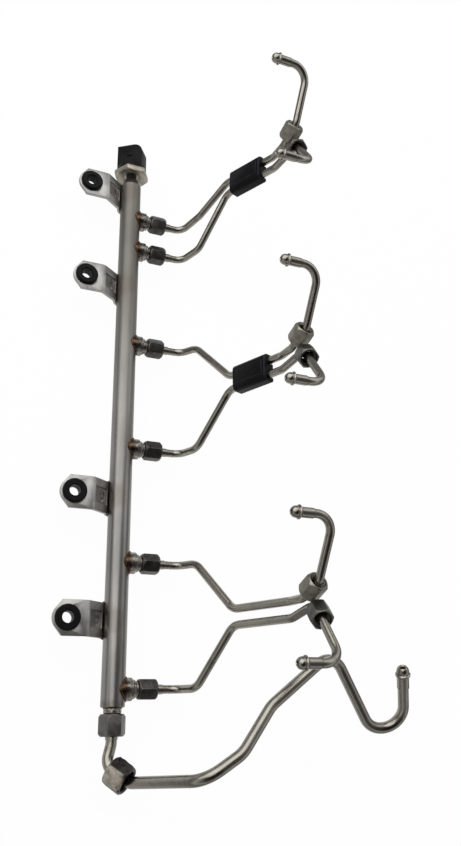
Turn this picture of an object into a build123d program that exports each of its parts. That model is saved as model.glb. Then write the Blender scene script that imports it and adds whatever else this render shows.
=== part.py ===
"""High-pressure fuel rail for a straight-six engine, with its six injector lines and its feed line.

Working frame: +Y runs along the rail towards the pressure sensor, +X points out of the ports towards
the injectors and +Z is the direction of the mounting bolts. The rail's own axis is X = Z = 0, and the
port nearest the feed end is at Y = 0. Cylinders, ports, lines and brackets are counted from the feed end.
Every piece is written in the mounting frame, whose origin is the seat of the first bracket's grommet.
"""
from build123d import *
from math import cos, radians, sin, sqrt, tan
import os

# Rail tube
RAIL_OD = 17.5
RAIL_BORE = 9.0
RAIL_START_Y = -12.3
RAIL_TAIL = 33.4
RAIL_EDGE = 0.6
BORE_CONE = 1.5
CONE_LENGTH = 8.7
SPIGOT_D = 9.2
SPIGOT_LENGTH = 9.0
FUEL_DRILL_D = 3.0

# Engine spacing
CYLINDER_PITCH = 91.0
CYLINDERS = 6
LAST_PORT_STEP = 30.9
INJECTOR_LEAD_Y = 9.3

# Port fittings and the union joint that they share with the injector lines
COLLAR_D = 16.3
COLLAR_END_X = 14.0
COLLAR_CHAMFER = 0.9
STEP_D = 13.4
STEP_END_X = 16.2
STEP_CHAMFER = 0.8
PORT_THREAD_D = 11.2
PORT_END_X = 26.0
PORT_MOUTH_D = 9.0
SPIGOT_IN_WALL_D = 6.0
WALL_LEFT = 1.2
SEAT_HALF_ANGLE = 30.0
SEAT_GAP = 0.1

# Union nuts of the injector lines
NUT_AF = 14.0
NUT_LENGTH = 14.0
NUT_START_X = 18.0
NUT_HOLE_CLEARANCE = 0.15
NUT_CHAMFER_ANGLE = 30.0
NUT_FACE_RIM = 0.4
NUT_MOUTH_LEAD = 0.7

# Injector line tube, its ball ends and its sleeves
LINE_OD = 6.0
LINE_BORE = 2.4
LINE_BALL_R = 3.95
LINE_COLLAR_D = 9.6
LINE_COLLAR_LENGTH = 2.3
LINE_SLEEVE_D = 7.0
SLEEVE_ROUND = 0.7
SLEEVE_LEAD = 0.3
RAIL_SLEEVE_SHOWN = 4.6
INJECTOR_SLEEVE_LENGTH = 8.5

# Injector line route shared by all six, the near line of a pair first, then the far one
KNEE_X = 48.5
KNEE_BEND = 11.0
RISE = ((56.2, 0.0, 19.2), (57.8, 0.0, 14.3))
LAST_PAIR_RISE = ((58.6, 4.6, 17.5), (58.4, 6.0, 20.9))
RISE_BEND = 13.0
PAIR_SPACING = 11.4
PAIR_LEAN_Y = 7.4
CLIP_LOW_X = 72.5
CLIP_LOW_Z = 49.8
CLIP_LOW_BEND = 12.0
CLIP_HIGH_X = 93.0
CLIP_HIGH_Z = 100.4
CLIP_HIGH_BEND = 12.0
LAST_PAIR_LOW_Y = 3.0
GATHER = ((100.4, 1.7, 119.3), (94.0, 5.7, 114.9))
GATHER_BEND = 11.0
FLARE = ((96.6, -7.0, 132.0), (96.7, 13.9, 132.3))
FLARE_BEND = 12.0
ELBOW_X = 97.9
ELBOW_Z = 154.3
ELBOW_BEND = 13.0
BALL_X = 70.0

# Loose injector nuts: how far the mouth lies past the corner where the pair parts, near line then far line
LOOSE_NUT_PAST_FLARE = (10.391, 6.693)

# Line clips, moulded plastic
CLIP_LENGTH = 34.0
CLIP_BELOW_MIDDLE = 2.0
CLIP_WIDTH = 22.0
CLIP_FRONT = 6.2
CLIP_BACK = 4.6
CLIP_SHOULDER = 4.6
CLIP_HEEL = 1.4
CLIP_THROAT = 4.4
CLIP_CLEARANCE = 0.1
CLIP_PANEL_WIDTH = 11.0
CLIP_PANEL_MARGIN = 3.0
CLIP_PANEL_RISE = 0.5
CLIP_END_CHAMFER = 0.7
CLIPPED_PAIRS = (2, 3)

# Feed union on the rail's end
NIPPLE_D = 13.0
NIPPLE_HUB_LENGTH = 4.2
NIPPLE_CHAMFER = 0.6
NIPPLE_THREAD_D = 13.2
NIPPLE_THREAD_LENGTH = 9.0
NIPPLE_SPIGOT_LENGTH = 10.0
NIPPLE_BORE = 4.0
NIPPLE_MOUTH_D = 11.0
FEED_NUT_AF = 17.0
FEED_NUT_LENGTH = 15.0
FEED_NUT_FLOOR = 3.5

# Feed line tube, its ball ends and its sleeves
FEED_OD = 8.0
FEED_BORE = 4.0
FEED_BALL_R = 4.6
FEED_COLLAR_D = 10.9
FEED_COLLAR_LENGTH = 2.8
FEED_SLEEVE_D = 8.9
FEED_SLEEVE_SHOWN = 2.0
PUMP_SLEEVE_LENGTH = 9.0

# Feed line route, each corner with its bend radius
FEED_ROUTE = (
    ((0.0, -36.5, 0.0), 14.0),
    ((-3.5, -50.0, 0.6), 9.0),
    ((10.0, -60.9, 11.5), 9.0),
    ((42.0, -57.5, 72.0), 20.0),
    ((68.0, -42.0, 73.0), 24.0),
    ((91.0, -13.0, 70.0), 24.0),
    ((140.0, 23.5, 72.0), 15.0),
    ((178.0, -28.0, 54.0), 15.0),
    ((206.0, -30.0, 57.0), 15.0),
)
FEED_TIP = (191.8, 9.8, 81.7)

# Loose pump nut, measured from the route's second corner towards its third
PUMP_NUT_START = 4.5
PUMP_NUT_AF = 19.0
PUMP_THREAD_D = 15.0

# Turn of each nut about its own axis, as the nuts happen to stand
RAIL_NUT_TURNS = (0.0, 8.0, 0.0, 12.0, 4.0, 10.0)
LOOSE_NUT_TURNS = (10.0, 20.0, 10.0, 20.0, 10.0, 20.0)
FEED_NUT_TURN = -3.0
PUMP_NUT_TURN = 37.0

# Mounting brackets, formed sheet
BRACKET_FIRST_Y = 48.0
BRACKET_CREEP = 1.3
BRACKET_STATIONS = (0, 1, 3, 4)
SHEET = 3.0
PLATE_TOP_Z = 10.5
PLATE_WIDTH = 25.4
PLATE_CORNER_X = -41.5
PLATE_END_R = 10.7
SLOPE_ANGLE = 38.5
OUTER_BEND_R = 3.0
INNER_BEND_R = 2.0
CRADLE_START_ANGLE = 15.0
CRADLE_END_ANGLE = 62.0
RIB_WIDTH = 12.3
RIB_DEPTH = 0.8
LANCE_R = 3.6
LANCE_SLOT = 1.1
LANCE_SPAN = 150.0
PEEP_HOLE_D = 2.4

# Grommets, moulded rubber
GROMMET_X = -38.0
GROMMET_OD = 18.4
GROMMET_BORE = 8.4
GROMMET_NECK_D = 14.0
GROMMET_LIP = 3.2
GROMMET_EDGE = 1.0
GROMMET_MOUTH = 0.8

# Pressure sensor
SENSOR_GAP = 1.2
SENSOR_AF = 27.0
SENSOR_HEX_LENGTH = 4.8
SENSOR_HEX_CHAMFER = 1.0
SENSOR_RECESS_D = 17.0
SENSOR_RECESS_DEPTH = 2.2
SENSOR_STEM_D = 18.0
SENSOR_STEM_LENGTH = 7.0
SENSOR_SEAL_WALL = 1.5
HOUSING_BASE_D = 25.6
HOUSING_BASE_LENGTH = 4.5
HOUSING_WIDTH = 23.0
HOUSING_DEPTH = 13.0
HOUSING_LENGTH = 27.5
HOUSING_ELBOW_R = 8.0
HOUSING_EDGE_R = 1.2
HOUSING_TURN = 36.0
SOCKET_LENGTH = 11.0
SOCKET_DEPTH = 8.6
SOCKET_REACH = 10.5
LATCH_WIDTH = 5.0
LATCH_LENGTH = 3.0
LATCH_RISE = 1.0
LATCH_FROM_END = 10.5
PIN_COUNT = 3
PIN_PITCH = 3.2
PIN_WIDTH = 1.5
PIN_THICKNESS = 0.8
PIN_LENGTH = 8.0
PIN_ROOT = 2.0

# Values that follow from the driving dimensions
RAIL_R = RAIL_OD / 2
LAST_PORT_Y = (CYLINDERS - 2) * CYLINDER_PITCH + LAST_PORT_STEP
RAIL_END_Y = LAST_PORT_Y + RAIL_TAIL
CONE_END_Y = RAIL_END_Y + CONE_LENGTH
BRACKET_PITCH = CYLINDER_PITCH + BRACKET_CREEP
NOSE_OFFSET = (LINE_BALL_R + SEAT_GAP) / sin(radians(SEAT_HALF_ANGLE))
LINE_START_X = PORT_END_X - PORT_MOUTH_D / 2 / tan(radians(SEAT_HALF_ANGLE)) + NOSE_OFFSET
NUT_END_X = NUT_START_X + NUT_LENGTH
PLATE_BOTTOM_Z = PLATE_TOP_Z - SHEET
SEAT_Z = PLATE_BOTTOM_Z - GROMMET_LIP
SENSOR_START_Y = CONE_END_Y + SENSOR_GAP
ORIGIN = Vector(GROMMET_X, BRACKET_FIRST_Y, SEAT_Z)
ALONG_RAIL = Vector(0, 1, 0)


def port_y(cylinder):
    """Place of a port along the rail; the last one stands closer to its neighbour."""
    if cylinder == CYLINDERS:
        return LAST_PORT_Y
    return (cylinder - 1) * CYLINDER_PITCH


def injector_y(cylinder):
    """Place of an injector along the engine."""
    return INJECTOR_LEAD_Y + (cylinder - 1) * CYLINDER_PITCH


def pair_middle_y(cylinder):
    """Middle of the two lines that run together, where the clip holds them."""
    first = cylinder - 1 if cylinder % 2 == 0 else cylinder
    return (injector_y(first) + injector_y(first + 1)) / 2 - PAIR_LEAN_Y


def pair_side(cylinder):
    """-1 for the near line of a pair, which is on its feed side, and 1 for the far one."""
    return 1 if cylinder % 2 == 0 else -1


def frame_at(origin, direction, turn=0.0):
    """Plane whose normal is the given direction, turned about that direction."""
    z_dir = Vector(*direction).normalized()
    side = ALONG_RAIL.cross(z_dir)
    if side.length < 0.1:
        side = Vector(1, 0, 0)
    return Plane(origin=origin, x_dir=side.rotate(Axis((0, 0, 0), z_dir), turn), z_dir=z_dir)


def turned(place, outline):
    """Solid of revolution about the place's normal, from (height, radius) corners."""
    face = Plane.XZ * make_face(Polyline(*[(r, z) for z, r in outline], close=True))
    return place.location * revolve(face, Axis.Z)


def bent_tube(route, outer_d, bore_d):
    """Hollow tube along a path of straight runs and arcs."""
    start = Plane(origin=route @ 0, z_dir=route % 0)
    return sweep(start * (Circle(outer_d / 2) - Circle(bore_d / 2)), path=route)


def ball_end(place, ball_r, tube_od, bore_d):
    """Upset ball end of a line: the place is the ball's centre, its normal leaves the tube."""
    bore_r = bore_d / 2
    tube_r = tube_od / 2
    tip = sqrt(ball_r ** 2 - (1.5 * bore_r) ** 2)
    back = -sqrt(ball_r ** 2 - tube_r ** 2)
    arc = ThreePointArc((tube_r, back), (ball_r, 0), (1.5 * bore_r, tip))
    rest = Polyline((1.5 * bore_r, tip), (bore_r, tip - bore_r / 2), (bore_r, back), (tube_r, back))
    return place.location * revolve(Plane.XZ * make_face(arc + rest), Axis.Z)


def sleeve(place, ball_r, tube_od, collar_d, collar_length, sleeve_d, sleeve_length):
    """Thrust sleeve: a collar with a round seat for the ball's back, on a plain bush."""
    inner = tube_od / 2
    front = -SLEEVE_LEAD * ball_r
    back = front - collar_length
    shoulder = (collar_d - sleeve_d) / 2
    bush = turned(place, (
        (front, inner), (front, collar_d / 2 - SLEEVE_ROUND), (front - SLEEVE_ROUND, collar_d / 2),
        (back + shoulder, collar_d / 2), (back, sleeve_d / 2),
        (back - sleeve_length, sleeve_d / 2), (back - sleeve_length, inner)))
    return bush - place.location * Sphere(ball_r)


def collar_back(ball_r, collar_length):
    """Distance from a ball's centre to the back of its collar."""
    return SLEEVE_LEAD * ball_r + collar_length


def union_nut(place, across_flats, length, floor, hole_d, thread_d):
    """Hexagon union nut: the place is the outside of its floor, the normal points out of its mouth."""
    corner_r = across_flats / sqrt(3)
    drop = (corner_r - across_flats / 2 + NUT_FACE_RIM) * tan(radians(NUT_CHAMFER_ANGLE)) * 2
    flat_r = across_flats / 2 - NUT_FACE_RIM
    prism = extrude(RegularPolygon(corner_r, 6), length)
    envelope = turned(Plane.XY, (
        (0, 0), (0, flat_r), (drop, corner_r), (length - drop, corner_r), (length, flat_r), (length, 0)))
    mouth_r = thread_d / 2 + NUT_MOUTH_LEAD
    shoulder = (thread_d - hole_d) / 2
    bore = turned(Plane.XY, (
        (0, 0), (0, hole_d / 2), (floor, hole_d / 2), (floor + shoulder, thread_d / 2),
        (length - NUT_MOUTH_LEAD, thread_d / 2), (length, mouth_r), (length, 0)))
    return place.location * ((prism & envelope) - bore)


def rail_tube():
    """Drilled rail tube with its coned sensor end and one drilling for each port."""
    r = RAIL_R
    tube = turned(frame_at((0, 0, 0), (0, 1, 0)), (
        (RAIL_START_Y, RAIL_BORE / 2), (RAIL_START_Y, r - RAIL_EDGE), (RAIL_START_Y + RAIL_EDGE, r),
        (RAIL_END_Y, r), (CONE_END_Y, SPIGOT_D / 2), (CONE_END_Y + SPIGOT_LENGTH, SPIGOT_D / 2),
        (CONE_END_Y + SPIGOT_LENGTH, FUEL_DRILL_D / 2), (RAIL_END_Y + BORE_CONE, FUEL_DRILL_D / 2),
        (RAIL_END_Y - BORE_CONE, RAIL_BORE / 2)))
    for cylinder in range(1, CYLINDERS + 1):
        port = frame_at((0, port_y(cylinder), 0), (1, 0, 0))
        step = RAIL_BORE / 2 + WALL_LEFT
        tube -= turned(port, (
            (0, 0), (0, FUEL_DRILL_D / 2), (step, FUEL_DRILL_D / 2),
            (step, SPIGOT_IN_WALL_D / 2), (RAIL_OD, SPIGOT_IN_WALL_D / 2), (RAIL_OD, 0)))
    return tube


def port_fitting(cylinder):
    """Brazed port: saddle collar on the rail, spigot in its wall, thread and cone seat outside."""
    place = frame_at((0, port_y(cylinder), 0), (1, 0, 0))
    bore = FUEL_DRILL_D / 2
    seat_depth = (PORT_MOUTH_D / 2 - bore) / tan(radians(SEAT_HALF_ANGLE))
    body = turned(place, (
        (0, bore), (0, COLLAR_D / 2), (COLLAR_END_X - COLLAR_CHAMFER, COLLAR_D / 2),
        (COLLAR_END_X, COLLAR_D / 2 - COLLAR_CHAMFER), (COLLAR_END_X, STEP_D / 2),
        (STEP_END_X - STEP_CHAMFER, STEP_D / 2), (STEP_END_X, PORT_THREAD_D / 2),
        (PORT_END_X, PORT_THREAD_D / 2), (PORT_END_X, PORT_MOUTH_D / 2),
        (PORT_END_X - seat_depth, bore)))
    saddle = turned(frame_at((0, port_y(cylinder) - COLLAR_D, 0), (0, 1, 0)), (
        (0, 0), (0, RAIL_R), (2 * COLLAR_D, RAIL_R), (2 * COLLAR_D, 0)))
    spigot = turned(place, (
        (RAIL_BORE / 2 + WALL_LEFT, bore), (RAIL_BORE / 2 + WALL_LEFT, SPIGOT_IN_WALL_D / 2),
        (RAIL_R + 1, SPIGOT_IN_WALL_D / 2), (RAIL_R + 1, bore)))
    return (body - saddle) + spigot


def held_run(cylinder):
    """Ends of the straight run in which a pair lies side by side; the last pair's starts further on."""
    middle = pair_middle_y(cylinder)
    start = middle + LAST_PAIR_LOW_Y if cylinder > CYLINDERS - 2 else middle
    return Vector(CLIP_LOW_X, start, CLIP_LOW_Z), Vector(CLIP_HIGH_X, middle, CLIP_HIGH_Z)


def line_route(cylinder):
    """Path of an injector line, from its ball in the port to its ball at the injector."""
    port = Vector(0, port_y(cylinder), 0)
    side = pair_side(cylinder)
    far = (side + 1) // 2
    middle = Vector(0, pair_middle_y(cylinder), 0)
    apart = Vector(0, side * PAIR_SPACING / 2, 0)
    low, high = held_run(cylinder)
    end = injector_y(cylinder)
    rise = LAST_PAIR_RISE if cylinder > CYLINDERS - 2 else RISE
    return FilletPolyline(
        port + Vector(LINE_START_X, 0, 0),
        port + Vector(KNEE_X, 0, 0),
        port + Vector(*rise[far]),
        low + apart,
        high + apart,
        middle + Vector(*GATHER[far]),
        middle + Vector(*FLARE[far]),
        (ELBOW_X, end, ELBOW_Z),
        (BALL_X, end, ELBOW_Z),
        radius=(KNEE_BEND, RISE_BEND, CLIP_LOW_BEND, CLIP_HIGH_BEND, GATHER_BEND, FLARE_BEND, ELBOW_BEND))


def injector_line(cylinder):
    """Steel injector line with an upset ball on each end."""
    route = line_route(cylinder)
    line = bent_tube(route, LINE_OD, LINE_BORE)
    for place in (Plane(origin=route @ 0, z_dir=-(route % 0)), Plane(origin=route @ 1, z_dir=route % 1)):
        line += ball_end(place, LINE_BALL_R, LINE_OD, LINE_BORE)
    return line


def line_sleeve(place, length):
    return sleeve(place, LINE_BALL_R, LINE_OD, LINE_COLLAR_D, LINE_COLLAR_LENGTH, LINE_SLEEVE_D, length)


def rail_sleeve(cylinder):
    """Sleeve inside the rail nut, with its tail showing behind the nut."""
    place = frame_at((LINE_START_X, port_y(cylinder), 0), (-1, 0, 0))
    start = LINE_START_X + collar_back(LINE_BALL_R, LINE_COLLAR_LENGTH)
    return line_sleeve(place, NUT_END_X + RAIL_SLEEVE_SHOWN - start)


def injector_sleeve(cylinder):
    """Sleeve behind the open ball end."""
    return line_sleeve(frame_at((BALL_X, injector_y(cylinder), ELBOW_Z), (-1, 0, 0)), INJECTOR_SLEEVE_LENGTH)


def line_nut(place):
    """Union nut of an injector line, the same one at both of its ends."""
    seat = LINE_START_X + collar_back(LINE_BALL_R, LINE_COLLAR_LENGTH)
    floor = NUT_END_X - seat + NUT_HOLE_CLEARANCE
    hole_d = LINE_SLEEVE_D + 2 * NUT_HOLE_CLEARANCE
    return union_nut(place, NUT_AF, NUT_LENGTH, floor, hole_d, PORT_THREAD_D)


def rail_nut(cylinder):
    """Union nut that clamps the line into its port."""
    return line_nut(frame_at((NUT_END_X, port_y(cylinder), 0), (-1, 0, 0), RAIL_NUT_TURNS[cylinder - 1]))


def hung_place(route, mouth_reach, length, turn):
    """Frame of a loose nut that hangs on a bend: its floor and its mouth are both on the line."""
    mouth = route @ (1 - mouth_reach / route.length)
    floor = route @ (1 - (mouth_reach + length) / route.length)
    return frame_at(floor, mouth - floor, turn)


def loose_nut(cylinder):
    """Union nut of the injector end, slid down the line to the bend where the pair parts."""
    far = (pair_side(cylinder) + 1) // 2
    end = injector_y(cylinder)
    flare = Vector(0, pair_middle_y(cylinder), 0) + Vector(*FLARE[far])
    elbow = Vector(ELBOW_X, end, ELBOW_Z)
    from_ball = (elbow - flare).length + ELBOW_X - BALL_X
    turn = LOOSE_NUT_TURNS[cylinder - 1]
    reach = from_ball - LOOSE_NUT_PAST_FLARE[far]
    return line_nut(hung_place(line_route(cylinder), reach, NUT_LENGTH, turn))


def line_clip(pair):
    """Moulded clip that snaps over both lines of a pair, open at the back."""
    low, high = held_run(2 * pair)
    way = (high - low).normalized()
    place = Plane(origin=(low + high) * 0.5, x_dir=ALONG_RAIL, z_dir=way)
    place = place.offset(-CLIP_LENGTH / 2 - CLIP_BELOW_MIDDLE)
    height = CLIP_FRONT + CLIP_BACK
    outline = Pos(0, (CLIP_FRONT - CLIP_BACK) / 2) * Rectangle(CLIP_WIDTH, height)
    front = outline.vertices().group_by(Axis.Y)[-1]
    back = outline.vertices().group_by(Axis.Y)[0]
    outline = fillet(front, CLIP_SHOULDER)
    back = outline.vertices().group_by(Axis.Y)[0]
    outline = fillet(back, CLIP_HEEL)
    body = extrude(outline, CLIP_LENGTH)
    body = chamfer(body.faces().sort_by(Axis.Z)[-1].outer_wire().edges(), CLIP_END_CHAMFER)
    body = chamfer(body.faces().sort_by(Axis.Z)[0].outer_wire().edges(), CLIP_END_CHAMFER)
    panel_length = CLIP_LENGTH - 2 * CLIP_PANEL_MARGIN
    body += Pos(0, CLIP_FRONT, CLIP_LENGTH / 2) * Box(CLIP_PANEL_WIDTH, 2 * CLIP_PANEL_RISE, panel_length)
    for side in (-1, 1):
        x = side * PAIR_SPACING / 2
        body -= Pos(x, 0, CLIP_LENGTH / 2) * Cylinder(LINE_OD / 2 + CLIP_CLEARANCE, CLIP_LENGTH)
        body -= Pos(x, -CLIP_BACK, CLIP_LENGTH / 2) * Box(CLIP_THROAT, 2 * CLIP_BACK, CLIP_LENGTH)
    return place.location * body


def feed_nipple():
    """Brazed union nipple that closes the rail's end: spigot, hub, thread and cone seat."""
    bore = NIPPLE_BORE / 2
    end = NIPPLE_HUB_LENGTH + NIPPLE_THREAD_LENGTH
    seat_depth = (NIPPLE_MOUTH_D / 2 - bore) / tan(radians(SEAT_HALF_ANGLE))
    return turned(frame_at((0, RAIL_START_Y, 0), (0, -1, 0)), (
        (-NIPPLE_SPIGOT_LENGTH, bore), (-NIPPLE_SPIGOT_LENGTH, RAIL_BORE / 2), (0, RAIL_BORE / 2),
        (0, NIPPLE_D / 2), (NIPPLE_HUB_LENGTH - NIPPLE_CHAMFER, NIPPLE_D / 2),
        (NIPPLE_HUB_LENGTH, NIPPLE_THREAD_D / 2 - NIPPLE_CHAMFER),
        (NIPPLE_HUB_LENGTH + NIPPLE_CHAMFER, NIPPLE_THREAD_D / 2),
        (end, NIPPLE_THREAD_D / 2), (end, NIPPLE_MOUTH_D / 2), (end - seat_depth, bore)))


def feed_start_y():
    """Centre of the feed line's ball in the nipple's cone."""
    mouth = RAIL_START_Y - NIPPLE_HUB_LENGTH - NIPPLE_THREAD_LENGTH
    apex = mouth + NIPPLE_MOUTH_D / 2 / tan(radians(SEAT_HALF_ANGLE))
    return apex - (FEED_BALL_R + SEAT_GAP) / sin(radians(SEAT_HALF_ANGLE))


def feed_route():
    corners = [point for point, bend in FEED_ROUTE]
    bends = [bend for point, bend in FEED_ROUTE]
    return FilletPolyline((0, feed_start_y(), 0), *corners, FEED_TIP, radius=bends)


def feed_places():
    """Ball centres of the feed line, with normals that leave the tube."""
    route = feed_route()
    return Plane(origin=route @ 0, z_dir=-(route % 0)), Plane(origin=route @ 1, z_dir=route % 1)


def feed_line():
    """Feed line from the pump, with an upset ball on each end."""
    line = bent_tube(feed_route(), FEED_OD, FEED_BORE)
    for place in feed_places():
        line += ball_end(place, FEED_BALL_R, FEED_OD, FEED_BORE)
    return line


def feed_sleeve(place, length):
    return sleeve(place, FEED_BALL_R, FEED_OD, FEED_COLLAR_D, FEED_COLLAR_LENGTH, FEED_SLEEVE_D, length)


def feed_nut_end_y():
    return RAIL_START_Y - NIPPLE_HUB_LENGTH - FEED_NUT_LENGTH


def feed_rail_sleeve():
    start = feed_start_y() - collar_back(FEED_BALL_R, FEED_COLLAR_LENGTH)
    return feed_sleeve(feed_places()[0], start - feed_nut_end_y() + FEED_SLEEVE_SHOWN)


def feed_rail_nut():
    """Union nut of the feed line at the rail."""
    end = feed_nut_end_y()
    seat = feed_start_y() - collar_back(FEED_BALL_R, FEED_COLLAR_LENGTH)
    floor = seat - end + NUT_HOLE_CLEARANCE
    place = frame_at((0, end, 0), (0, 1, 0), FEED_NUT_TURN)
    hole_d = FEED_SLEEVE_D + 2 * NUT_HOLE_CLEARANCE
    return union_nut(place, FEED_NUT_AF, FEED_NUT_LENGTH, floor, hole_d, NIPPLE_THREAD_D)


def feed_pump_nut():
    """Union nut of the pump end, slid down the line to its first bends."""
    corner, beyond = Vector(*FEED_ROUTE[1][0]), Vector(*FEED_ROUTE[2][0])
    way = (beyond - corner).normalized()
    place = frame_at(corner + way * PUMP_NUT_START, way, PUMP_NUT_TURN)
    hole_d = FEED_SLEEVE_D + 2 * NUT_HOLE_CLEARANCE
    return union_nut(place, PUMP_NUT_AF, FEED_NUT_LENGTH, FEED_NUT_FLOOR, hole_d, PUMP_THREAD_D)


def on_arc(centre, radius, angle):
    """Point on an arc in the bracket's section, with the angle in degrees."""
    return (centre[0] + radius * cos(radians(angle)), centre[1] + radius * sin(radians(angle)))


def arc_edge(centre, radius, start, end):
    middle = (start + end) / 2
    return ThreePointArc(*[on_arc(centre, radius, angle) for angle in (start, middle, end)])


def bracket_bends():
    """Centres of the two bends of the bracket's section, in X and Z."""
    slope = radians(SLOPE_ANGLE)
    lead = radians(CRADLE_START_ANGLE)
    reach = RAIL_R + INNER_BEND_R + SHEET
    inner = (-reach * cos(lead), -reach * sin(lead))
    top_r = INNER_BEND_R + SHEET
    low = (inner[0] + top_r * sin(slope), inner[1] + top_r * cos(slope))
    outer_r = OUTER_BEND_R + SHEET
    run = (PLATE_TOP_Z - outer_r * (1 - cos(slope)) - low[1]) / sin(slope)
    outer = (low[0] - run * cos(slope) - outer_r * sin(slope), PLATE_TOP_Z - outer_r)
    return outer, inner, low, run


def bracket_section():
    """Closed section of the formed sheet: flat plate, slope, and cradle round the rail."""
    outer, inner, low, run = bracket_bends()
    end_x = GROMMET_X - PLATE_END_R
    tilt = 90 - SLOPE_ANGLE
    top_1, top_2 = OUTER_BEND_R + SHEET, INNER_BEND_R + SHEET
    cradle = (180 + CRADLE_START_ANGLE, 180 + CRADLE_END_ANGLE)
    rail = (0, 0)
    top = [
        Line((end_x, PLATE_TOP_Z), (outer[0], PLATE_TOP_Z)),
        arc_edge(outer, top_1, 90, tilt),
        Line(on_arc(outer, top_1, tilt), on_arc(inner, top_2, tilt)),
        arc_edge(inner, top_2, tilt, CRADLE_START_ANGLE),
        arc_edge(rail, RAIL_R, *cradle)]
    bottom = [
        Line(on_arc(rail, RAIL_R, cradle[1]), on_arc(rail, RAIL_R + SHEET, cradle[1])),
        arc_edge(rail, RAIL_R + SHEET, cradle[1], cradle[0]),
        arc_edge(inner, INNER_BEND_R, CRADLE_START_ANGLE, tilt),
        Line(on_arc(inner, INNER_BEND_R, tilt), on_arc(outer, OUTER_BEND_R, tilt)),
        arc_edge(outer, OUTER_BEND_R, tilt, 90),
        Line((outer[0], PLATE_BOTTOM_Z), (end_x, PLATE_BOTTOM_Z)),
        Line((end_x, PLATE_BOTTOM_Z), (end_x, PLATE_TOP_Z))]
    return make_face(top + bottom)


def bracket(station):
    """Mounting bracket: formed sheet with a rounded ear, a pressed rib and a lanced locating hole."""
    sheet = extrude(Plane.XZ * bracket_section(), PLATE_WIDTH / 2, both=True)
    ear = Pos(GROMMET_X, 0) * Circle(PLATE_END_R)
    body = Pos(PLATE_CORNER_X / 2, 0) * Rectangle(-PLATE_CORNER_X, PLATE_WIDTH)
    plan = make_hull(ear.edges() + body.edges())
    sheet &= Pos(0, 0, -RAIL_OD) * extrude(plan, 2 * RAIL_OD)
    outer, inner, low, run = bracket_bends()
    slope = radians(SLOPE_ANGLE)
    middle = (low[0] - run / 2 * cos(slope), 0, low[1] + run / 2 * sin(slope))
    face = Plane(origin=middle, x_dir=(cos(slope), 0, -sin(slope)), z_dir=(sin(slope), 0, cos(slope)))
    rib = Box(run, RIB_WIDTH, 2 * RIB_DEPTH)
    sheet += face.offset(-SHEET).location * rib
    sheet -= face.location * rib
    sheet -= Pos(GROMMET_X, 0, PLATE_BOTTOM_Z) * Cylinder(GROMMET_NECK_D / 2, 4 * SHEET)
    half = LANCE_SPAN / 2
    slot = make_face([
        arc_edge((0, 0), LANCE_R, -half, half),
        Line(on_arc((0, 0), LANCE_R, half), on_arc((0, 0), LANCE_R + LANCE_SLOT, half)),
        arc_edge((0, 0), LANCE_R + LANCE_SLOT, half, -half),
        Line(on_arc((0, 0), LANCE_R + LANCE_SLOT, -half), on_arc((0, 0), LANCE_R, -half))])
    cuts = extrude(slot, 3 * SHEET, both=True) + Pos(LANCE_R / 2, 0) * Cylinder(PEEP_HOLE_D / 2, 6 * SHEET)
    sheet -= face.location * cuts
    return Pos(0, bracket_y(station), 0) * sheet


def bracket_y(station):
    return BRACKET_FIRST_Y + station * BRACKET_PITCH


def grommet(station):
    """Rubber grommet: two lips and a neck in the bracket's hole."""
    lip_r, neck_r, bore_r = GROMMET_OD / 2, GROMMET_NECK_D / 2, GROMMET_BORE / 2
    top = GROMMET_LIP + SHEET + GROMMET_LIP
    return turned(Plane(origin=(GROMMET_X, bracket_y(station), SEAT_Z)), (
        (0, bore_r), (0, lip_r - GROMMET_EDGE), (GROMMET_EDGE, lip_r),
        (GROMMET_LIP, lip_r), (GROMMET_LIP, neck_r), (GROMMET_LIP + SHEET, neck_r),
        (GROMMET_LIP + SHEET, lip_r), (top - GROMMET_EDGE, lip_r), (top, lip_r - GROMMET_EDGE),
        (top, bore_r + GROMMET_MOUTH), (top - GROMMET_MOUTH, bore_r)))


def sensor_body():
    """Steel sensor body: hexagon with a recess round the rail's spigot, and a stem in the housing."""
    place = frame_at((0, SENSOR_START_Y, 0), (0, 1, 0))
    corner_r = SENSOR_AF / sqrt(3)
    hexagon = extrude(RegularPolygon(corner_r, 6), SENSOR_HEX_LENGTH)
    rim = turned(Plane.XY, (
        (0, 0), (0, SENSOR_AF / 2), (SENSOR_HEX_CHAMFER, corner_r),
        (SENSOR_HEX_LENGTH, corner_r), (SENSOR_HEX_LENGTH, 0)))
    stem_end = SENSOR_HEX_LENGTH + SENSOR_STEM_LENGTH
    stem = turned(Plane.XY, (
        (SENSOR_HEX_LENGTH, 0), (SENSOR_HEX_LENGTH, SENSOR_STEM_D / 2), (stem_end, SENSOR_STEM_D / 2),
        (stem_end, 0)))
    socket_end = SPIGOT_LENGTH - SENSOR_GAP
    socket = turned(Plane.XY, (
        (0, 0), (0, SENSOR_RECESS_D / 2), (SENSOR_RECESS_DEPTH, SENSOR_RECESS_D / 2 - SENSOR_RECESS_DEPTH),
        (SENSOR_RECESS_DEPTH, SPIGOT_D / 2), (socket_end, SPIGOT_D / 2),
        (socket_end + SENSOR_SEAL_WALL, FUEL_DRILL_D / 2), (socket_end + SENSOR_SEAL_WALL, 0)))
    return place.location * ((hexagon & rim) + stem - socket)


def housing_place():
    """Frame of the sensor's connector: normal along the rail, X across the housing."""
    across = Vector(cos(radians(HOUSING_TURN)), 0, sin(radians(HOUSING_TURN)))
    origin = (0, SENSOR_START_Y + SENSOR_HEX_LENGTH, 0)
    return Plane(origin=origin, x_dir=across, z_dir=(0, 1, 0))


def socket_middle():
    return HOUSING_LENGTH - SOCKET_LENGTH / 2 - (HOUSING_DEPTH - SOCKET_DEPTH) / 2


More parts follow.
